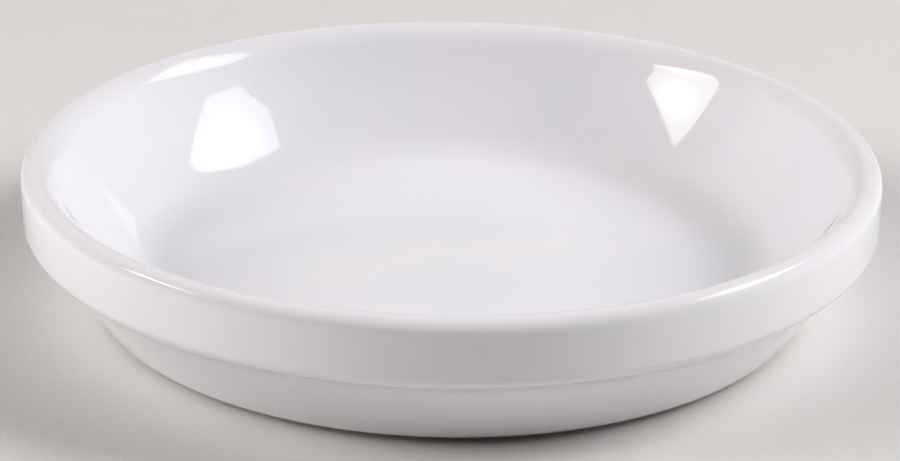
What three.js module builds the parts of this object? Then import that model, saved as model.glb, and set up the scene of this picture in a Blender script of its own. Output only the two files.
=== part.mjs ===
// Shallow round creme brulee dish in white glazed porcelain: the fired body, the glaze over it, and the
// glaze of the recessed underside. Every piece is turned about the same axis.
// Millimetres, +Z up. The origin is the centre of the foot ring, on the plane that the dish stands on.
import * as THREE from "three";

// Outside
const RIM_DIAMETER = 130; // over the collar
const HEIGHT = 23.1; // foot plane to the crest of the lip
const CREST_RADIUS = 2.05; // round of the lip's crest and outer edge
const COLLAR_HEIGHT = 9.25; // crest of the lip to the top of the ledge under the collar
const COLLAR_EDGE_RADIUS = 2; // rounded lower edge of the collar
const LEDGE_SLOPE = 62; // degrees from upright
const STEP_DEPTH = 2.8; // the lower wall starts this far in from the collar
const STEP_FILLET = 6.5; // soft hollow where the ledge meets the lower wall
const LOWER_WALL_SLOPE = 35; // degrees from upright
const HEEL_RADIUS = 2.5; // round at the foot of the lower wall
const HEEL_LIFT = 0.8; // shadow gap from the foot plane up to the heel

// Inside
const FLOOR_HEIGHT = 4.3; // foot plane to the inside floor
const LIP_ROLL_RADIUS = 8.8; // wider round between the crest and the inside wall
const LIP_ROLL_START = 37; // degrees from level where the crest gives way to that round
const WALL_TOP_SLOPE = 31; // degrees from upright where the inside wall leaves the lip
const WALL_CURVE_RADIUS = 75; // long hollow curve of the inside wall
const CORNER_RADIUS = 10.5; // sweep from the inside wall into the floor

// Underside
const FOOT_INSET = 2.3; // the foot ring starts this far in from the bottom of the heel
const FOOT_SLOPE = 20; // degrees from upright of the ring's outer side
const FOOT_WIDTH = 4.5; // flat bare ring that the dish stands on
const FOOT_CHAMFER = 0.3; // broken edges of that ring
const RECESS_HEIGHT = 1.4; // foot plane to the glazed base inside the ring
const RECESS_SLOPE = 50; // degrees from upright of the ring's inner side
const RECESS_FILLET = 0.8; // hollow corner around the glazed base

// Glaze
const GLAZE_THICKNESS = 0.3;
const GLAZE_LINE_HEIGHT = 1; // the outside glaze stops under the heel, this far above the foot plane
const BASE_GLAZE_LINE_HEIGHT = 1.25; // and the base glaze this far above it
const FUSE_GAP = 0.05; // kept between the body and each glaze, so that the faceted solids never overlap

// Facets
const SEGMENTS = 60; // around the axis
const ARC_STEP = 22; // most degrees between two points of a tight arc
const LONG_ARC_STEPS = 4; // steps along the inside wall's long curve

const radians = THREE.MathUtils.degToRad;
const rimRadius = RIM_DIAMETER / 2;
const ledgeHeight = HEIGHT - COLLAR_HEIGHT;

/** A point of a profile, with the direction that points out of the dish there. */
function sample(r, z, outR, outZ) {
  return { point: new THREE.Vector2(r, z), out: new THREE.Vector2(outR, outZ) };
}

/** Samples along an arc. Side is 1 where the dish is inside the arc's circle, and -1 where it is outside. */
function arc(centre, radius, fromAngle, toAngle, side, steps) {
  const turn = Math.abs(toAngle - fromAngle);
  const count = steps ?? Math.max(2, Math.ceil(turn / radians(ARC_STEP)));
  return Array.from({ length: count + 1 }, (_, i) => {
    const angle = THREE.MathUtils.lerp(fromAngle, toAngle, i / count);
    const across = Math.cos(angle);
    const up = Math.sin(angle);
    return sample(centre.x + radius * across, centre.y + radius * up, side * across, side * up);
  });
}

/** The finished surface from the middle of the inside floor, over the lip, to the bottom of the heel. */
function glazedSurface() {
  // The tight crest gives way to a wider round, which rolls over to the inside wall.
  const crest = Math.PI / 2;
  const crestCentre = new THREE.Vector2(rimRadius - CREST_RADIUS, HEIGHT - CREST_RADIUS);
  const rollStart = radians(LIP_ROLL_START);
  const rollOut = new THREE.Vector2(-Math.sin(rollStart), Math.cos(rollStart));
  const rollCentre = crestCentre.clone().addScaledVector(rollOut, CREST_RADIUS - LIP_ROLL_RADIUS);

  // The inside wall leaves that round along its tangent and bends in towards the floor.
  const topSlope = radians(WALL_TOP_SLOPE);
  const wallOut = new THREE.Vector2(-Math.cos(topSlope), Math.sin(topSlope));
  const wallCentre = rollCentre.clone().addScaledVector(wallOut, LIP_ROLL_RADIUS + WALL_CURVE_RADIUS);
  const cornerRise = FLOOR_HEIGHT + CORNER_RADIUS - wallCentre.y;
  const cornerReach = Math.sqrt((WALL_CURVE_RADIUS - CORNER_RADIUS) ** 2 - cornerRise ** 2);
  const cornerCentre = new THREE.Vector2(wallCentre.x + cornerReach, FLOOR_HEIGHT + CORNER_RADIUS);
  const cornerEnd = Math.atan2(cornerRise, cornerReach);
  const floor = sample(0, FLOOR_HEIGHT, 0, 1);
  const corner = arc(cornerCentre, CORNER_RADIUS, -Math.PI / 2, cornerEnd, -1);
  const wall = arc(wallCentre, WALL_CURVE_RADIUS, cornerEnd, -topSlope, -1, LONG_ARC_STEPS);
  const roll = arc(rollCentre, LIP_ROLL_RADIUS, Math.PI - topSlope, crest + rollStart, 1);
  const innerCrest = arc(crestCentre, CREST_RADIUS, crest + rollStart, crest, 1);
  const outerCrest = arc(crestCentre, CREST_RADIUS, crest, 0, 1);

  // The ledge under the collar slants in, between the collar's rounded edge and a soft hollow.
  const ledgeSlope = radians(LEDGE_SLOPE);
  const ledgeDown = new THREE.Vector2(-Math.sin(ledgeSlope), -Math.cos(ledgeSlope));
  const ledgeLength = STEP_DEPTH / Math.sin(ledgeSlope);
  const wallTop = new THREE.Vector2(rimRadius, ledgeHeight).addScaledVector(ledgeDown, ledgeLength);
  const slope = radians(LOWER_WALL_SLOPE);
  const down = new THREE.Vector2(-Math.sin(slope), -Math.cos(slope));
  const lowerOut = new THREE.Vector2(Math.cos(slope), -Math.sin(slope));
  const filletRun = STEP_FILLET * Math.tan((ledgeSlope - slope) / 2);
  const edgeSpread = Math.tan(ledgeSlope / 2);
  const edgeRadius = Math.min(COLLAR_EDGE_RADIUS, (ledgeLength - filletRun) / edgeSpread);
  const edgeCentre = new THREE.Vector2(rimRadius - edgeRadius, ledgeHeight + edgeRadius * edgeSpread);
  const filletEnd = wallTop.clone().addScaledVector(down, filletRun);
  const filletCentre = filletEnd.addScaledVector(lowerOut, STEP_FILLET);
  const collarEdge = arc(edgeCentre, edgeRadius, 0, -ledgeSlope, 1);
  const stepCorner = arc(filletCentre, STEP_FILLET, Math.PI - ledgeSlope, Math.PI - slope, -1);

  // The lower wall runs down to the heel, whose round ends level, just above the foot plane.
  const heelRun = HEEL_RADIUS * Math.tan((Math.PI / 2 - slope) / 2);
  const wallFoot = wallTop.clone().addScaledVector(down, (wallTop.y - HEEL_LIFT) / Math.cos(slope));
  const heelCentre = new THREE.Vector2(wallFoot.x - heelRun, HEEL_LIFT + HEEL_RADIUS);
  const heel = arc(heelCentre, HEEL_RADIUS, -slope, -Math.PI / 2, 1);

  const inside = [floor, ...corner, ...wall.slice(1), ...roll.slice(1), ...innerCrest.slice(1)];
  return [...inside, ...outerCrest.slice(1), ...collarEdge, ...stepCorner, ...heel];
}

/** The finished underside from the middle of the base to the foot ring's inner edge. */
function baseSurface(innerEdge) {
  const slope = radians(RECESS_SLOPE);
  const turn = Math.PI / 2 - slope;
  const run = RECESS_FILLET * Math.tan(turn / 2);
  const cornerRadius = innerEdge - RECESS_HEIGHT * Math.tan(slope);
  const filletCentre = new THREE.Vector2(cornerRadius - run, RECESS_HEIGHT - RECESS_FILLET);
  const fillet = arc(filletCentre, RECESS_FILLET, Math.PI / 2, slope, -1);
  const side = sample(innerEdge, 0, -Math.cos(slope), -Math.sin(slope));
  return [sample(0, RECESS_HEIGHT, 0, -1), ...fillet, side];
}

/** The points of a surface, moved into the dish by a depth. */
function sunk(surface, depth) {
  return surface.map(({ point, out }) => point.clone().addScaledVector(out, -depth));
}

/** The stretch of a surface from its middle to where it last comes down through a height. */
function downTo(surface, height) {
  const end = surface.findLastIndex(({ point }) => point.y > height);
  const above = surface[end];
  const below = surface[end + 1];
  const share = (above.point.y - height) / (above.point.y - below.point.y);
  const point = above.point.clone().lerp(below.point, share);
  const out = above.out.clone().lerp(below.out, share).normalize();
  return [...surface.slice(0, end + 1), { point, out }];
}

/** A named mesh turned about +Z from a profile that runs clockwise, from the axis round to the axis. */
function turned(name, profile, material) {
  const geometry = new THREE.LatheGeometry(profile.toReversed(), SEGMENTS).rotateX(Math.PI / 2);
  const mesh = new THREE.Mesh(geometry, material);
  mesh.name = name;
  return mesh;
}

/** The profile of a coat of glaze: out along its finished face, and back just clear of the body. */
function coat(surface) {
  return [...sunk(surface, 0), ...sunk(surface, GLAZE_THICKNESS - FUSE_GAP).reverse()];
}

const outside = glazedSurface();
const heelBottom = outside.at(-1).point;
const footTop = heelBottom.y + GLAZE_THICKNESS;
const footOuter = heelBottom.x - FOOT_INSET;
const footInner = footOuter - FOOT_WIDTH;
const underside = baseSurface(footInner);

// The body lies one glaze thickness under the finished surfaces. Its bare foot ring reaches the foot plane.
const foot = [
  new THREE.Vector2(footOuter + footTop * Math.tan(radians(FOOT_SLOPE)), footTop),
  new THREE.Vector2(footOuter, FOOT_CHAMFER),
  new THREE.Vector2(footOuter - FOOT_CHAMFER, 0),
  new THREE.Vector2(footInner + FOOT_CHAMFER, 0),
];
const bodyProfile = [
  ...sunk(outside, GLAZE_THICKNESS),
  ...foot,
  ...sunk(underside, GLAZE_THICKNESS).reverse(),
];

const biscuit = new THREE.MeshStandardMaterial({ color: 0xe9e2d6, roughness: 0.85, metalness: 0 });
const mainGlaze = new THREE.MeshStandardMaterial({ color: 0xf1eff1, roughness: 0.06, metalness: 0 });
const undersideGlaze = new THREE.MeshStandardMaterial({ color: 0xf0eeee, roughness: 0.08, metalness: 0 });

const dish = new THREE.Group();
dish.add(
  turned("porcelain_body", bodyProfile, biscuit),
  turned("glaze_coat", coat(downTo(outside, GLAZE_LINE_HEIGHT)), mainGlaze),
  turned("base_glaze", coat(downTo(underside, BASE_GLAZE_LINE_HEIGHT)).reverse(), undersideGlaze),
);

export default dish;
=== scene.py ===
"""A shallow creme brulee dish in white glazed porcelain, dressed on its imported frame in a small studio.

Sizes are written in millimetres and become metres when a mesh is made. +Z is up, the dish stands on the plane
z = 0 with its axis on Z, and the camera stands on the side of -Y. Profiles are drawn as (radius, height).
"""

import logging
import math
from dataclasses import dataclass
from enum import Enum
from typing import ClassVar

import bmesh
import bpy
from mathutils import Matrix, Vector

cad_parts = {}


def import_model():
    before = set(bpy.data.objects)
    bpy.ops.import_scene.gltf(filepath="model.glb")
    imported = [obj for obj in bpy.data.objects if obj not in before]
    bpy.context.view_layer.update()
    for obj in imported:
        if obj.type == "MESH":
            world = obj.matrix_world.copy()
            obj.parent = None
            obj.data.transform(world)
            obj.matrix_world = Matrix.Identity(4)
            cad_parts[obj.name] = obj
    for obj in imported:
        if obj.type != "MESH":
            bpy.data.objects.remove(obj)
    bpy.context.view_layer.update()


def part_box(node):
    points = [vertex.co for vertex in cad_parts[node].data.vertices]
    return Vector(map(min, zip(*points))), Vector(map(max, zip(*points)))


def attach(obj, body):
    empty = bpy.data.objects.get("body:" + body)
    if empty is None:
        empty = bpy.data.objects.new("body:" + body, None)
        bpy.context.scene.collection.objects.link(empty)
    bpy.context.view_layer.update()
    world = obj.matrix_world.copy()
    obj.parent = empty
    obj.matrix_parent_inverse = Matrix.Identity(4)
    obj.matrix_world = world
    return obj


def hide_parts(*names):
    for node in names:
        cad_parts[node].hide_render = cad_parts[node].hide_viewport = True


log = logging.getLogger("dish")

MM = 0.001  # metres in a millimetre
BODY = "root"  # the dish has no joints, so all of it is one body
QUARTER_TURN = 90.0  # degrees
WAVE_TURN = math.tau / 20  # the scale at which Blender's wave texture repeats once a metre


class Node(Enum):
    """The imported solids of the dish."""

    FIRED_BODY = "porcelain_body"
    GLAZE_COAT = "glaze_coat"
    BASE_GLAZE = "base_glaze"


class Slot(Enum):
    """The record's finishes."""

    BISCUIT = "biscuit_porcelain"
    GLAZE = "white_glaze"


def linear(colour: str) -> tuple[float, float, float, float]:
    """Turns an sRGB hex colour into linear light.

    Args:
        colour: six hex digits after a hash sign.

    Returns:
        Red, green, blue and an alpha of 1.
    """
    parts = [int(colour[i : i + 2], 16) / 255 for i in (1, 3, 5)]
    red, green, blue = (c / 12.92 if c <= 0.04045 else ((c + 0.055) / 1.055) ** 2.4 for c in parts)
    return red, green, blue, 1.0


def per_metre(size: float) -> float:
    """The scale of a texture whose pattern repeats about every size millimetres."""
    return 1 / (size * MM)


def add_node(
    tree: bpy.types.NodeTree, kind: str, inputs: dict[int | str, object] | None = None, **settings: str
) -> bpy.types.Node:
    """Adds a node with its settings and links.

    Args:
        tree: the node tree that gets the node.
        kind: the node's class name.
        inputs: an output to link, or a value to set, for each input by its name or number.
        settings: attributes of the node.

    Returns:
        The new node.
    """
    node = tree.nodes.new(kind)
    for name, value in settings.items():
        setattr(node, name, value)
    for socket, value in (inputs or {}).items():
        if isinstance(value, bpy.types.NodeSocket):
            tree.links.new(value, node.inputs[socket])
        else:
            node.inputs[socket].default_value = value
    return node


class TurningTemplate:
    """A profile that is drawn with a pen, point by point, and then turned about the dish's axis."""

    SEGMENTS = 384  # around the axis, so that no facet shows in a mirror reflection or along the step
    SAME_POINT = 1e-4  # millimetres

    def __init__(self, start: Vector) -> None:
        """Sets the pen down at a radius and height."""
        self.mesh = bmesh.new()
        self.tip = bmesh.ops.create_vert(self.mesh, co=(start.x, 0, start.y))["vert"][0]

    def line(self, end: Vector) -> None:
        """Draws a straight stretch to a radius and height."""
        self.tip = bmesh.ops.extrude_vert_indiv(self.mesh, verts=[self.tip])["verts"][0]
        self.tip.co = (end.x, 0, end.y)

    def arc(self, centre: Vector, turn: float, steps: int) -> None:
        """Draws a round stretch.

        Args:
            centre: the middle of its circle, as radius and height.
            turn: degrees that the pen goes round it, anticlockwise with the radius to the right.
            steps: straight pieces that stand for it.
        """
        made = bmesh.ops.spin(
            self.mesh,
            geom=[self.tip],
            cent=(centre.x, 0, centre.y),
            axis=(0, -1, 0),
            angle=math.radians(turn),
            steps=steps,
        )
        self.tip = next(part for part in made["geom_last"] if isinstance(part, bmesh.types.BMVert))

    def turned(self) -> bmesh.types.BMesh:
        """Turns the profile once round the axis.

        Returns:
            The skin, in millimetres, with its normals pointing out of a closed or nearly closed form.
        """
        bmesh.ops.spin(
            self.mesh,
            geom=self.mesh.verts[:] + self.mesh.edges[:],
            cent=(0, 0, 0),
            axis=(0, 0, 1),
            angle=math.tau,
            steps=self.SEGMENTS,
            use_merge=True,
        )
        bmesh.ops.remove_doubles(self.mesh, verts=self.mesh.verts, dist=self.SAME_POINT)
        bmesh.ops.recalc_face_normals(self.mesh, faces=self.mesh.faces)
        return self.mesh


def ring_edges(mesh: bmesh.types.BMesh, height: float, slack: float = 0.01) -> list[bmesh.types.BMEdge]:
    """The level edges of a turned mesh at a height, within a slack, all in millimetres."""
    return [e for e in mesh.edges if all(abs(v.co.z - height) < slack for v in e.verts)]


def round_edges(mesh: bmesh.types.BMesh, edges: list[bmesh.types.BMEdge], size: float) -> None:
    """Rounds edges of a mesh, over a size in millimetres on each side of them."""
    bmesh.ops.bevel(mesh, geom=edges, offset=size, segments=3, profile=0.5, affect="EDGES", material=-1)


def finished_piece(mesh: bmesh.types.BMesh, name: str, crease: float = 50) -> bpy.types.Object:
    """Makes an object of a mesh in millimetres, shaded smooth but for its hard edges.

    Args:
        mesh: the mesh, which is used up.
        name: the object's name.
        crease: the angle in degrees from which an edge is hard.

    Returns:
        The object, at the origin of the scene.
    """
    bmesh.ops.scale(mesh, vec=(MM, MM, MM), verts=mesh.verts)
    data = bpy.data.meshes.new(name)
    mesh.to_mesh(data)
    mesh.free()
    data.shade_smooth()
    data.set_sharp_from_angle(angle=math.radians(crease))
    piece = bpy.data.objects.new(name, data)
    bpy.context.scene.collection.objects.link(piece)
    return piece


def join_frame(piece: bpy.types.Object, node: Node) -> None:
    """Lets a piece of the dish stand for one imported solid.

    Args:
        piece: the dressed piece.
        node: the solid that it replaces.
    """
    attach(piece, BODY)
    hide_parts(node.value)


@dataclass(frozen=True)
class DishForm:
    """The profile that every piece of the dish is turned from. Slopes are degrees from upright.

    The glaze's finished face is drawn at a depth of 0, and the fired body lies one glaze thickness under it.
    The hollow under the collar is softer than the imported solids', because glaze pools there. Its face lies
    within 0.2 mm of theirs.
    """

    rim_radius: float
    height: float
    glaze: float
    glaze_line: float
    base_glaze_line: float
    crest_radius: float = 2.05
    collar_height: float = 9.25
    collar_edge_radius: float = 1.85
    ledge_slope: float = 62.0
    step_depth: float = 3.2
    step_fillet: float = 10.0
    lower_wall_slope: float = 34.0
    heel_radius: float = 2.5
    heel_lift: float = 0.8  # shadow gap from the foot plane up to the heel
    floor_height: float = 4.3
    lip_roll_radius: float = 8.8
    lip_roll_start: float = 37.0  # degrees from level where the crest gives way to the wider round
    wall_top_slope: float = 31.0
    wall_curve_radius: float = 75.0
    corner_radius: float = 10.5
    foot_inset: float = 2.3  # from the bottom of the heel to the foot ring
    foot_slope: float = 20.0
    foot_width: float = 4.5
    foot_chamfer: float = 0.3
    recess_height: float = 1.4
    recess_slope: float = 50.0
    recess_fillet: float = 0.8

    @classmethod
    def from_frame(cls) -> "DishForm":
        """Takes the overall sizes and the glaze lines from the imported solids.

        Returns:
            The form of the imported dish.
        """
        body_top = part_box(Node.FIRED_BODY.value)[1]
        coat_foot, coat_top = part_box(Node.GLAZE_COAT.value)
        base_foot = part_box(Node.BASE_GLAZE.value)[0]
        return cls(
            rim_radius=coat_top.x / MM,
            height=coat_top.z / MM,
            glaze=(coat_top.z - body_top.z) / MM,
            glaze_line=coat_foot.z / MM,
            base_glaze_line=base_foot.z / MM,
        )

    @property
    def crest_centre(self) -> Vector:
        """Middle of the round of the lip's crest and outer edge."""
        return Vector((self.rim_radius - self.crest_radius, self.height - self.crest_radius))

    @property
    def ledge_height(self) -> float:
        """Height at which the collar gives way to the ledge under it."""
        return self.height - self.collar_height

    @property
    def wall_top(self) -> Vector:
        """Where the ledge and the lower wall would meet without the hollow between them."""
        drop = self.step_depth / math.tan(math.radians(self.ledge_slope))
        return Vector((self.rim_radius - self.step_depth, self.ledge_height - drop))

    @property
    def heel_centre(self) -> Vector:
        """Middle of the round at the foot of the lower wall.

        Returns:
            Its radius and height.
        """
        slope = math.radians(self.lower_wall_slope)
        wall_foot = self.wall_top.x - (self.wall_top.y - self.heel_lift) * math.tan(slope)
        run = self.heel_radius * math.tan(math.pi / 4 - slope / 2)
        return Vector((wall_foot - run, self.heel_lift + self.heel_radius))

    @property
    def foot_outer(self) -> float:
        """Radius of the outer edge of the foot ring."""
        return self.heel_centre.x - self.foot_inset

    @property
    def foot_inner(self) -> float:
        """Radius of the inner edge of the foot ring."""
        return self.foot_outer - self.foot_width

    @property
    def recess_fillet_centre(self) -> Vector:
        """Middle of the hollow corner around the base.

        Returns:
            Its radius and height.
        """
        slope = math.radians(self.recess_slope)
        corner = self.foot_inner - self.recess_height * math.tan(slope)
        run = self.recess_fillet * math.tan(math.pi / 4 - slope / 2)
        return Vector((corner - run, self.recess_height - self.recess_fillet))

    def draw_inside(self, depth: float) -> TurningTemplate:
        """Starts at the middle of the inside floor and draws up the wall to the crest of the lip.

        Args:
            depth: distance under the finished face.

        Returns:
            The template, with its pen on the crest.
        """
        start = math.radians(self.lip_roll_start)
        roll_out = Vector((-math.sin(start), math.cos(start)))
        roll_centre = self.crest_centre + roll_out * (self.crest_radius - self.lip_roll_radius)
        top = math.radians(self.wall_top_slope)
        wall_out = Vector((-math.cos(top), math.sin(top)))
        wall_centre = roll_centre + wall_out * (self.lip_roll_radius + self.wall_curve_radius)
        rise = self.floor_height + self.corner_radius - wall_centre.y
        reach = math.sqrt((self.wall_curve_radius - self.corner_radius) ** 2 - rise**2)
        corner_centre = wall_centre + Vector((reach, rise))
        corner_end = math.degrees(math.atan2(rise, reach))

        template = TurningTemplate(Vector((0, self.floor_height - depth)))
        template.line(Vector((corner_centre.x, self.floor_height - depth)))
        template.arc(corner_centre, corner_end + QUARTER_TURN, steps=14)
        template.arc(wall_centre, -self.wall_top_slope - corner_end, steps=20)
        template.arc(roll_centre, self.wall_top_slope + self.lip_roll_start - QUARTER_TURN, steps=8)
        template.arc(self.crest_centre, -self.lip_roll_start, steps=8)
        return template

    def draw_outside(self, template: TurningTemplate, depth: float, heel_end: float) -> None:
        """Goes on from the crest of the lip, over the collar and the step, round the heel.

        Args:
            template: the template, with its pen on the crest.
            depth: distance under the finished face.
            heel_end: degrees under the level at which the heel's round is left.
        """
        ledge, slope = math.radians(self.ledge_slope), math.radians(self.lower_wall_slope)
        ledge_out = Vector((math.cos(ledge), -math.sin(ledge)))
        down = Vector((-math.sin(slope), -math.cos(slope)))
        out = Vector((math.cos(slope), -math.sin(slope)))
        edge = self.collar_edge_radius
        edge_centre = Vector((self.rim_radius - edge, self.ledge_height + edge * math.tan(ledge / 2)))
        fillet_run = self.step_fillet * math.tan((ledge - slope) / 2)
        fillet_centre = self.wall_top + down * fillet_run + out * self.step_fillet

        template.arc(self.crest_centre, -QUARTER_TURN, steps=14)
        template.line(Vector((self.rim_radius - depth, edge_centre.y)))
        template.arc(edge_centre, -self.ledge_slope, steps=14)
        template.line(fillet_centre - ledge_out * (self.step_fillet + depth))
        template.arc(fillet_centre, self.ledge_slope - self.lower_wall_slope, steps=12)
        template.line(self.heel_centre + out * (self.heel_radius - depth))
        template.arc(self.heel_centre, self.lower_wall_slope - heel_end, steps=10)

    def draw_base(self, template: TurningTemplate, depth: float, start: float) -> None:
        """Goes on from the hollow corner inside the foot ring to the middle of the base.

        Args:
            template: the template, with its pen on the hollow corner.
            depth: distance under the finished face.
            start: degrees above the level at which the hollow corner's round is met.
        """
        template.arc(self.recess_fillet_centre, QUARTER_TURN - start, steps=8)
        template.line(Vector((0, self.recess_height + depth)))


@dataclass(frozen=True)
class GlossyGlaze:
    """White porcelain glaze, sprayed on and fired to a smooth glass.

    The eye sees a cool, faintly clouded white under a sharp mirror sheen. The glaze runs thin over the lip,
    where it is a touch warmer. Its face waves very slightly, so reflected edges aren't quite straight, and a
    few small iron specks are left in it.
    """

    name: str
    white: str = "#F5F2F6"
    cool_white: str = "#F2F0F5"
    thin_white: str = "#F5F1F4"
    speck: str = "#A59C90"
    roughness: float = 0.035
    ior: float = 1.5
    wave_spacing: float = 17.0
    wave_depth: float = 0.010
    mottle_spacing: float = 24.0
    mottle_low: float = 0.35  # level of the noise up to which the glaze is white
    mottle_high: float = 0.65  # and from which it is cool white
    speck_spacing: float = 8.0
    speck_radius: float = 0.16
    speck_core: float = 0.4  # share of that radius in which a speck is darkest
    thin_band: float = 1.6  # how far down from the crest the glaze is thin

    def material(self, form: DishForm) -> bpy.types.Material:
        """Makes the glaze.

        Args:
            form: the dish that it lies on, for the height of the lip.

        Returns:
            The new material.
        """
        material = bpy.data.materials.new(self.name)
        material.use_nodes = True
        tree = material.node_tree
        shader = tree.nodes["Principled BSDF"]
        place = add_node(tree, "ShaderNodeTexCoord").outputs["Object"]
        height = add_node(tree, "ShaderNodeSeparateXYZ", {0: place}).outputs["Z"]

        mottle = add_node(
            tree,
            "ShaderNodeTexNoise",
            {"Vector": place, "Scale": per_metre(self.mottle_spacing), "Detail": 3.0},
        )
        cloud = add_node(
            tree,
            "ShaderNodeMapRange",
            {"Value": mottle.outputs["Fac"], "From Min": self.mottle_low, "From Max": self.mottle_high},
            interpolation_type="SMOOTHSTEP",
        )
        body = add_node(
            tree,
            "ShaderNodeMix",
            {"Factor": cloud.outputs["Result"], "A": linear(self.white), "B": linear(self.cool_white)},
            data_type="RGBA",
        )
        thin = add_node(
            tree,
            "ShaderNodeMapRange",
            {
                "Value": height,
                "From Min": (form.height - self.thin_band) * MM,
                "From Max": form.height * MM,
            },
            interpolation_type="SMOOTHSTEP",
        )
        lip = add_node(
            tree,
            "ShaderNodeMix",
            {"Factor": thin.outputs["Result"], "A": body.outputs["Result"], "B": linear(self.thin_white)},
            data_type="RGBA",
        )
        cells = add_node(
            tree, "ShaderNodeTexVoronoi", {"Vector": place, "Scale": per_metre(self.speck_spacing)}
        )
        spot = add_node(
            tree,
            "ShaderNodeMapRange",
            {
                "Value": cells.outputs["Distance"],
                "From Min": self.speck_radius / self.speck_spacing,
                "From Max": self.speck_core * self.speck_radius / self.speck_spacing,
            },
        )
        specked = add_node(
            tree,
            "ShaderNodeMix",
            {"Factor": spot.outputs["Result"], "A": lip.outputs["Result"], "B": linear(self.speck)},
            data_type="RGBA",
        )
        wave = add_node(
            tree,
            "ShaderNodeTexNoise",
            {"Vector": place, "Scale": per_metre(self.wave_spacing), "Detail": 1.0},
        )
        bump = add_node(
            tree,
            "ShaderNodeBump",
            {"Height": wave.outputs["Fac"], "Strength": 1.0, "Distance": self.wave_depth * MM},
        )
        tree.links.new(specked.outputs["Result"], shader.inputs["Base Color"])
        tree.links.new(bump.outputs["Normal"], shader.inputs["Normal"])
        shader.inputs["Roughness"].default_value = self.roughness
        shader.inputs["IOR"].default_value = self.ior
        return material


@dataclass(frozen=True)
class BiscuitPorcelain:
    """Bare fired porcelain, wiped clean of glaze on the foot and rubbed flat.

    The eye sees a dry warm cream with a fine grain, faint turning rings and no sheen.
    """

    name: str
    cream: str = "#E9E2D6"
    shade: str = "#D9D0C1"
    roughness: float = 0.85
    grain: float = 0.35
    grain_depth: float = 0.02
    ring_spacing: float = 3.77

    def material(self) -> bpy.types.Material:
        """Makes the bare body's finish.

        Returns:
            The new material.
        """
        material = bpy.data.materials.new(self.name)
        material.use_nodes = True
        tree = material.node_tree
        shader = tree.nodes["Principled BSDF"]
        place = add_node(tree, "ShaderNodeTexCoord").outputs["Object"]
        grain = add_node(
            tree, "ShaderNodeTexNoise", {"Vector": place, "Scale": per_metre(self.grain), "Detail": 4.0}
        )
        rings = add_node(
            tree,
            "ShaderNodeTexWave",
            {"Vector": place, "Scale": per_metre(self.ring_spacing) * WAVE_TURN, "Distortion": 1.5},
            wave_type="RINGS",
            rings_direction="Z",
        )
        marks = add_node(
            tree,
            "ShaderNodeMath",
            {0: grain.outputs["Fac"], 1: rings.outputs["Fac"]},
            operation="MULTIPLY",
        )
        colour = add_node(
            tree,
            "ShaderNodeMix",
            {"Factor": marks.outputs["Value"], "A": linear(self.cream), "B": linear(self.shade)},
            data_type="RGBA",
        )
        bump = add_node(
            tree,
            "ShaderNodeBump",
            {"Height": marks.outputs["Value"], "Strength": 0.6, "Distance": self.grain_depth * MM},
        )
        tree.links.new(colour.outputs["Result"], shader.inputs["Base Color"])
        tree.links.new(bump.outputs["Normal"], shader.inputs["Normal"])
        shader.inputs["Roughness"].default_value = self.roughness
        return material


@dataclass(frozen=True)
class BackgroundPaper:
    """Pale warm grey background paper.

    The eye sees a matt, very slightly clouded sheet with a fine grain and a few dark fibres.
    """

    name: str = "background_paper"
    pale: str = "#EAE7E4"
    dark: str = "#E0DDD9"
    fibre: str = "#8F8983"
    cloud: float = 9.0
    grain: float = 0.5
    grain_low: float = 0.3  # level of the noise at the bottom of the paper's tooth
    grain_high: float = 0.7  # and at its top
    grain_share: float = 0.6  # of the grain in the colour, against the clouds
    fibre_spacing: float = 46.0
    fibre_radius: float = 0.3
    fibre_core: float = 0.3  # share of that radius in which a fibre is darkest
    roughness: float = 0.9
    specular: float = 0.2

    def material(self) -> bpy.types.Material:
        """Makes the paper.

        Returns:
            The new material.
        """
        material = bpy.data.materials.new(self.name)
        material.use_nodes = True
        tree = material.node_tree
        shader = tree.nodes["Principled BSDF"]
        place = add_node(tree, "ShaderNodeTexCoord").outputs["Object"]
        cloud = add_node(
            tree, "ShaderNodeTexNoise", {"Vector": place, "Scale": per_metre(self.cloud), "Detail": 3.0}
        )
        grain = add_node(
            tree, "ShaderNodeTexNoise", {"Vector": place, "Scale": per_metre(self.grain), "Detail": 2.0}
        )
        tooth = add_node(
            tree,
            "ShaderNodeMapRange",
            {"Value": grain.outputs["Fac"], "From Min": self.grain_low, "From Max": self.grain_high},
        )
        both = add_node(
            tree,
            "ShaderNodeMix",
            {"Factor": self.grain_share, "A": cloud.outputs["Fac"], "B": tooth.outputs["Result"]},
        )
        colour = add_node(
            tree,
            "ShaderNodeMix",
            {"Factor": both.outputs["Result"], "A": linear(self.pale), "B": linear(self.dark)},
            data_type="RGBA",
        )
        cells = add_node(
            tree, "ShaderNodeTexVoronoi", {"Vector": place, "Scale": per_metre(self.fibre_spacing)}
        )
        fleck = add_node(
            tree,
            "ShaderNodeMapRange",
            {
                "Value": cells.outputs["Distance"],
                "From Min": self.fibre_radius / self.fibre_spacing,
                "From Max": self.fibre_core * self.fibre_radius / self.fibre_spacing,
            },
        )
        flecked = add_node(
            tree,
            "ShaderNodeMix",
            {"Factor": fleck.outputs["Result"], "A": colour.outputs["Result"], "B": linear(self.fibre)},
            data_type="RGBA",
        )
        tree.links.new(flecked.outputs["Result"], shader.inputs["Base Color"])
        shader.inputs["Roughness"].default_value = self.roughness
        shader.inputs["Specular IOR Level"].default_value = self.specular
        return material


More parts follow.
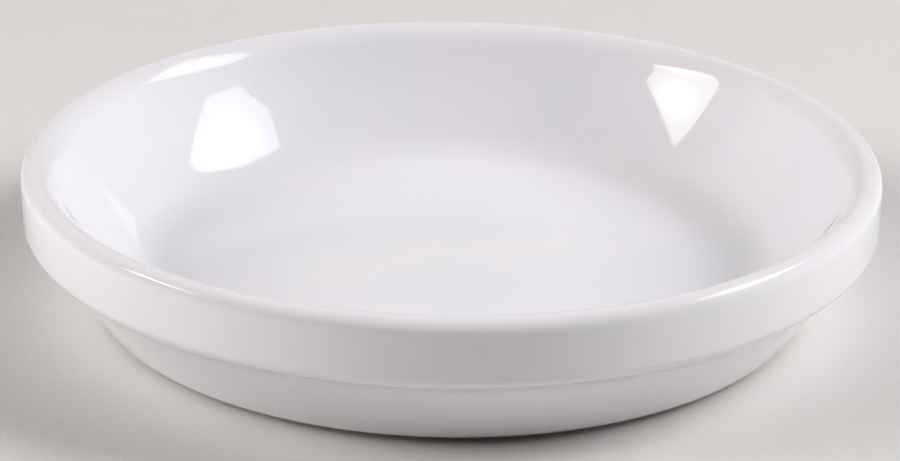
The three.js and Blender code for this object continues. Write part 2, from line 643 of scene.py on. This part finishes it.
@dataclass
class FiredBody:
    """The fired porcelain under the glaze, bare on the ring that the dish stands on."""

    form: DishForm
    finish: BiscuitPorcelain = BiscuitPorcelain("biscuit_porcelain")
    edge_round: float = 0.12

    def build(self) -> bpy.types.Object:
        """Turns the body from the inside floor, over the lip and the foot ring, to the base.

        Returns:
            The piece, not yet dressed.
        """
        form = self.form
        template = form.draw_inside(form.glaze)
        form.draw_outside(template, form.glaze, heel_end=QUARTER_TURN)
        foot_top = form.heel_lift + form.glaze
        foot_flare = foot_top * math.tan(math.radians(form.foot_slope))
        template.line(Vector((form.foot_outer + foot_flare, foot_top)))
        template.line(Vector((form.foot_outer, form.foot_chamfer)))
        template.line(Vector((form.foot_outer - form.foot_chamfer, 0)))
        template.line(Vector((form.foot_inner + form.foot_chamfer, 0)))
        slope = math.radians(form.recess_slope)
        into_body = Vector((math.cos(slope), math.sin(slope)))
        template.line(Vector((form.foot_inner, 0)) + into_body * form.glaze)
        template.line(form.recess_fillet_centre + into_body * (form.recess_fillet + form.glaze))
        form.draw_base(template, form.glaze, start=form.recess_slope)
        mesh = template.turned()
        round_edges(mesh, ring_edges(mesh, 0), self.edge_round)
        return finished_piece(mesh, "fired_body")

    def dress(self, piece: bpy.types.Object) -> None:
        """Gives the body its finish and its place in the frame."""
        piece.data.materials.append(self.finish.material())
        join_frame(piece, Node.FIRED_BODY)


@dataclass
class GlazeLayer:
    """A layer of glaze on the fired body."""

    node: ClassVar[Node]
    form: DishForm
    finish: GlossyGlaze
    fuse_gap: float = 0.05  # left to the body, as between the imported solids
    bead: float = 0.12  # round of the edge where the glaze stops

    def thickened(self, template: TurningTemplate) -> bmesh.types.BMesh:
        """Turns the finished face, thickens it towards the body and rounds its edge.

        Args:
            template: the finished face's profile.

        Returns:
            The layer, in millimetres.
        """
        mesh = template.turned()
        rim = [e for e in mesh.edges if e.is_boundary]
        bmesh.ops.solidify(mesh, geom=mesh.faces[:], thickness=self.form.glaze - self.fuse_gap)
        round_edges(mesh, rim, self.bead)
        return mesh

    def dress(self, piece: bpy.types.Object) -> None:
        """Gives the glaze its finish and its place in the frame."""
        piece.data.materials.append(self.finish.material(self.form))
        join_frame(piece, self.node)


@dataclass
class GlazeCoat(GlazeLayer):
    """The glaze over all that shows of the dish, down to a rounded edge under the heel."""

    node: ClassVar[Node] = Node.GLAZE_COAT
    finish: GlossyGlaze = GlossyGlaze("white_glaze")

    def build(self) -> bpy.types.Object:
        """Draws the face from the inside floor to the glaze line under the heel.

        Returns:
            The piece, not yet dressed.
        """
        form = self.form
        heel_end = math.degrees(math.asin(1 - (form.glaze_line - form.heel_lift) / form.heel_radius))
        template = form.draw_inside(0)
        form.draw_outside(template, 0, heel_end=heel_end)
        return finished_piece(self.thickened(template), "glaze_over_dish")


@dataclass
class BaseGlaze(GlazeLayer):
    """The glaze of the recessed underside, inside the bare foot ring."""

    node: ClassVar[Node] = Node.BASE_GLAZE
    finish: GlossyGlaze = GlossyGlaze("underside_glaze", roughness=0.06)

    def build(self) -> bpy.types.Object:
        """Draws the face from the glaze line inside the foot ring to the middle of the base.

        Returns:
            The piece, not yet dressed.
        """
        form = self.form
        centre = form.recess_fillet_centre
        start = math.asin((form.base_glaze_line - centre.y) / form.recess_fillet)
        template = TurningTemplate(centre + Vector((math.cos(start), math.sin(start))) * form.recess_fillet)
        form.draw_base(template, 0, start=math.degrees(start))
        return finished_piece(self.thickened(template), "glaze_under_base")


def direction(bearing: float, elevation: float) -> Vector:
    """A unit vector, from degrees that are counted from +X towards +Y and up from the level."""
    turn, rise = math.radians(bearing), math.radians(elevation)
    return Vector((math.cos(rise) * math.cos(turn), math.cos(rise) * math.sin(turn), math.sin(rise)))


class Seen(Enum):
    """Where a lamp shows."""

    IN_GLAZE = "as a bright shape in the mirror of the glaze"
    ON_MATT = "as light on matt surfaces: the white under the glaze, the bare clay and the paper"


class Tint(Enum):
    """The colour of a lamp's light."""

    NEUTRAL = "#FFFFFF"
    COOL = "#FDFDFF"
    WARM = "#FFFDFC"


@dataclass(frozen=True)
class Softbox:
    """A soft lamp that faces the dish.

    Its cloth is brightest at the middle, and can narrow towards the front. On the cloth, Blender counts from
    0 to 1 along each side.
    """

    CLOTH_MIDDLE: ClassVar[tuple[float, float, float]] = (0.5, 0.5, 0.0)
    GLOW_REACH: ClassVar[float] = 0.6  # from the middle to where the cloth is as dim as its edge
    OUTLINE_BLUR: ClassVar[float] = 0.08  # share of the cloth's half height over which a cut outline fades
    FILL_DISTANCE: ClassVar[float] = 1500.0

    name: str
    bearing: float
    elevation: float
    width: float
    height: float
    radiance: float  # at the middle
    edge: float = 1.0  # brightness of the edge against the middle
    narrows_from: float = 0.0  # where it starts to narrow: -1 is the end at the back, 1 the end at the front
    front_height: float = 1.0  # share of the height that is left at the front end
    turned: float = 0.0  # degrees about the line from the dish to the lamp
    tint: Tint = Tint.NEUTRAL
    distance: float = 900.0
    seen: Seen = Seen.IN_GLAZE

    @classmethod
    def fill(
        cls, name: str, bearing: float, elevation: float, side: float, radiance: float, tint: Tint
    ) -> "Softbox":
        """A square lamp, further off, that lights matt surfaces and doesn't show in the glaze.

        Args:
            name: the lamp's name.
            bearing: degrees from +X towards +Y.
            elevation: degrees above the level.
            side: width and height of the cloth.
            radiance: brightness at the middle.
            tint: the colour of its light.

        Returns:
            The lamp, not yet hung.
        """
        return cls(
            name,
            bearing,
            elevation,
            side,
            side,
            radiance,
            tint=tint,
            distance=cls.FILL_DISTANCE,
            seen=Seen.ON_MATT,
        )

    def hang(self) -> None:
        """Adds the lamp, at its distance from the dish."""
        lamp = bpy.data.lights.new(self.name, "AREA")
        lamp.shape = "RECTANGLE"
        lamp.size = self.width * MM
        lamp.size_y = self.height * MM
        lamp.energy = math.pi * self.radiance * lamp.size * lamp.size_y
        lamp.color = linear(self.tint.value)[:3]
        self.shade_cloth(lamp)
        aim = direction(self.bearing, self.elevation)
        facing = aim.to_track_quat("Z", "Y").to_matrix().to_4x4()
        spin = Matrix.Rotation(math.radians(self.turned), 4, "Z")
        holder = bpy.data.objects.new(self.name, lamp)
        holder.matrix_world = Matrix.Translation(aim * self.distance * MM) @ facing @ spin
        holder.visible_glossy = self.seen is Seen.IN_GLAZE
        holder.visible_diffuse = self.seen is Seen.ON_MATT
        bpy.context.scene.collection.objects.link(holder)

    def shade_cloth(self, lamp: bpy.types.AreaLight) -> None:
        """Fades the cloth towards its edge and cuts its outline.

        Args:
            lamp: the lamp that the cloth is in front of.
        """
        lamp.use_nodes = True
        tree = lamp.node_tree
        cloth = add_node(tree, "ShaderNodeNewGeometry").outputs["Parametric"]
        off_middle = add_node(
            tree, "ShaderNodeVectorMath", {0: cloth, 1: self.CLOTH_MIDDLE}, operation="DISTANCE"
        )
        glow = add_node(
            tree,
            "ShaderNodeMapRange",
            {
                "Value": off_middle.outputs["Value"],
                "From Max": self.GLOW_REACH,
                "To Min": 1.0,
                "To Max": self.edge,
            },
            interpolation_type="SMOOTHSTEP",
        )

        # The half height that is left falls evenly from where the cloth starts to narrow to its front end.
        to_front = 1 if math.cos(math.radians(self.bearing)) < 0 else -1
        narrowing = (1 - self.front_height) / (1 - self.narrows_from) * to_front
        limit = 1 + abs(narrowing) * self.narrows_from + narrowing
        along = add_node(tree, "ShaderNodeSeparateXYZ", {0: cloth})
        up = add_node(
            tree, "ShaderNodeMath", {0: along.outputs["Y"], 1: 2.0, 2: -1.0}, operation="MULTIPLY_ADD"
        )
        rise = add_node(tree, "ShaderNodeMath", {0: up.outputs["Value"]}, operation="ABSOLUTE")
        corner = add_node(
            tree,
            "ShaderNodeMath",
            {0: along.outputs["X"], 1: 2 * narrowing, 2: rise.outputs["Value"]},
            operation="MULTIPLY_ADD",
        )
        outline = add_node(
            tree,
            "ShaderNodeMapRange",
            {
                "Value": corner.outputs["Value"],
                "From Min": limit,
                "From Max": limit + self.OUTLINE_BLUR,
                "To Min": 1.0,
                "To Max": 0.0,
            },
        )
        shine = add_node(
            tree,
            "ShaderNodeMath",
            {0: glow.outputs["Result"], 1: outline.outputs["Result"]},
            operation="MULTIPLY",
        )
        tree.links.new(shine.outputs["Value"], tree.nodes["Emission"].inputs["Strength"])


@dataclass
class Studio:
    """The paper floor and its sweep behind the dish, the lamps and the camera."""

    form: DishForm
    paper: BackgroundPaper = BackgroundPaper()
    floor_size: float = 4000.0
    room_radiance: float = 0.005
    sweep_radiance: float = 0.615  # of the paper that rises behind the dish
    sweep_edge: float = 161.0  # bearing of its left end
    sweep_edge_blur: float = 0.03  # sine of the angle over which that end fades
    sweep_full: float = 0.5  # sine of the elevation up to which it is seen in full
    sweep_top: float = 0.9  # sine of the elevation at which it has faded out
    camera_distance: float = 386.4  # from the middle of the lip's crest
    camera_elevation: float = 20.425  # degrees, as the next three
    camera_pan: float = 0.0223
    camera_tilt: float = -1.884
    camera_roll: float = 0.729
    lens: float = 101.4
    sensor: float = 36.0
    lamps: tuple[Softbox, ...] = (
        Softbox(
            "right_softbox",
            bearing=12.3,
            elevation=45.0,
            width=470.0,
            height=300.0,
            radiance=6.4,
            edge=0.5,
            narrows_from=0.3,
            front_height=0.4,
        ),
        Softbox(
            "left_softbox",
            bearing=182.4,
            elevation=38.7,
            width=320.0,
            height=206.0,
            radiance=8.5,
            edge=0.55,
            narrows_from=-1.0,
            front_height=0.17,
            turned=9.8,
        ),
        Softbox.fill("right_fill", 1.0, 35.5, 660.0, 10.0, Tint.COOL),
        Softbox.fill("right_high_fill", 8.0, 45.0, 660.0, 5.3, Tint.COOL),
        Softbox.fill("right_low_fill", 0.0, 8.0, 500.0, 2.4, Tint.COOL),
        Softbox.fill("left_fill", 188.0, 35.0, 660.0, 5.6, Tint.WARM),
        Softbox.fill("front_left_fill", 205.0, 35.0, 660.0, 2.1, Tint.WARM),
        Softbox.fill("left_middle_fill", 180.0, 18.0, 660.0, 5.6, Tint.WARM),
        Softbox.fill("left_low_fill", 180.0, 7.0, 500.0, 1.5, Tint.WARM),
    )

    def lay_floor(self) -> None:
        """Lays the paper that the dish stands on."""
        mesh = bmesh.new()
        bmesh.ops.create_grid(mesh, x_segments=2, y_segments=2, size=self.floor_size / 2)
        floor = finished_piece(mesh, "paper_floor")
        floor.data.materials.append(self.paper.material())

    def light_room(self) -> None:
        """Lights the room faintly, and lets the camera and the glaze see the paper sweep behind the dish."""
        world = bpy.data.worlds.new("studio_room")
        world.use_nodes = True
        tree = world.node_tree
        room = tree.nodes["Background"]
        room.inputs["Color"].default_value = linear(self.paper.pale)
        way = add_node(tree, "ShaderNodeTexCoord").outputs["Generated"]
        height = add_node(tree, "ShaderNodeSeparateXYZ", {0: way}).outputs["Z"]
        behind = add_node(
            tree,
            "ShaderNodeVectorMath",
            {0: way, 1: direction(self.sweep_edge - QUARTER_TURN, 0)},
            operation="DOT_PRODUCT",
        )
        side = add_node(
            tree,
            "ShaderNodeMapRange",
            {"Value": behind.outputs["Value"], "From Max": self.sweep_edge_blur},
        )
        top = add_node(
            tree,
            "ShaderNodeMapRange",
            {"Value": height, "From Min": self.sweep_top, "From Max": self.sweep_full},
            interpolation_type="SMOOTHSTEP",
        )
        sweep = add_node(
            tree,
            "ShaderNodeMath",
            {0: side.outputs["Result"], 1: top.outputs["Result"]},
            operation="MULTIPLY",
        )
        path = add_node(tree, "ShaderNodeLightPath")
        looked_at = add_node(
            tree,
            "ShaderNodeMath",
            {0: path.outputs["Is Camera Ray"], 1: path.outputs["Is Glossy Ray"]},
            operation="MAXIMUM",
        )
        shown = add_node(
            tree,
            "ShaderNodeMath",
            {0: sweep.outputs["Value"], 1: looked_at.outputs["Value"]},
            operation="MULTIPLY",
        )
        strength = add_node(
            tree,
            "ShaderNodeMath",
            {0: shown.outputs["Value"], 1: self.sweep_radiance, 2: self.room_radiance},
            operation="MULTIPLY_ADD",
        )
        tree.links.new(strength.outputs["Value"], room.inputs["Strength"])
        bpy.context.scene.world = world
        bpy.context.scene.view_settings.view_transform = "Standard"

    def set_camera(self) -> None:
        """Stands the camera at the photograph's viewing angle."""
        data = bpy.data.cameras.new("camera")
        data.lens = self.lens
        data.sensor_width = self.sensor
        camera = bpy.data.objects.new("camera", data)
        elevation = math.radians(self.camera_elevation)
        back = Vector((0, -math.cos(elevation), math.sin(elevation)))
        place = Vector((0, 0, self.form.height)) + back * self.camera_distance
        aim = Matrix.Rotation(math.pi / 2 - elevation, 4, "X")
        for degrees, axis in ((self.camera_pan, "Y"), (self.camera_tilt, "X"), (self.camera_roll, "Z")):
            aim = aim @ Matrix.Rotation(math.radians(degrees), 4, axis)
        camera.matrix_world = Matrix.Translation(place * MM) @ aim
        bpy.context.scene.collection.objects.link(camera)
        bpy.context.scene.camera = camera


def main() -> None:
    """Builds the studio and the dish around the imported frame."""
    logging.basicConfig(level=logging.INFO, format="%(message)s")
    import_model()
    form = DishForm.from_frame()

    studio = Studio(form)
    studio.set_camera()
    studio.lay_floor()
    studio.light_room()
    for lamp in studio.lamps:
        lamp.hang()

    for part in (FiredBody(form), GlazeCoat(form), BaseGlaze(form)):
        piece = part.build()
        part.dress(piece)
        log.info("%s: %d faces", piece.name, len(piece.data.polygons))


if __name__ == "__main__":
    main()
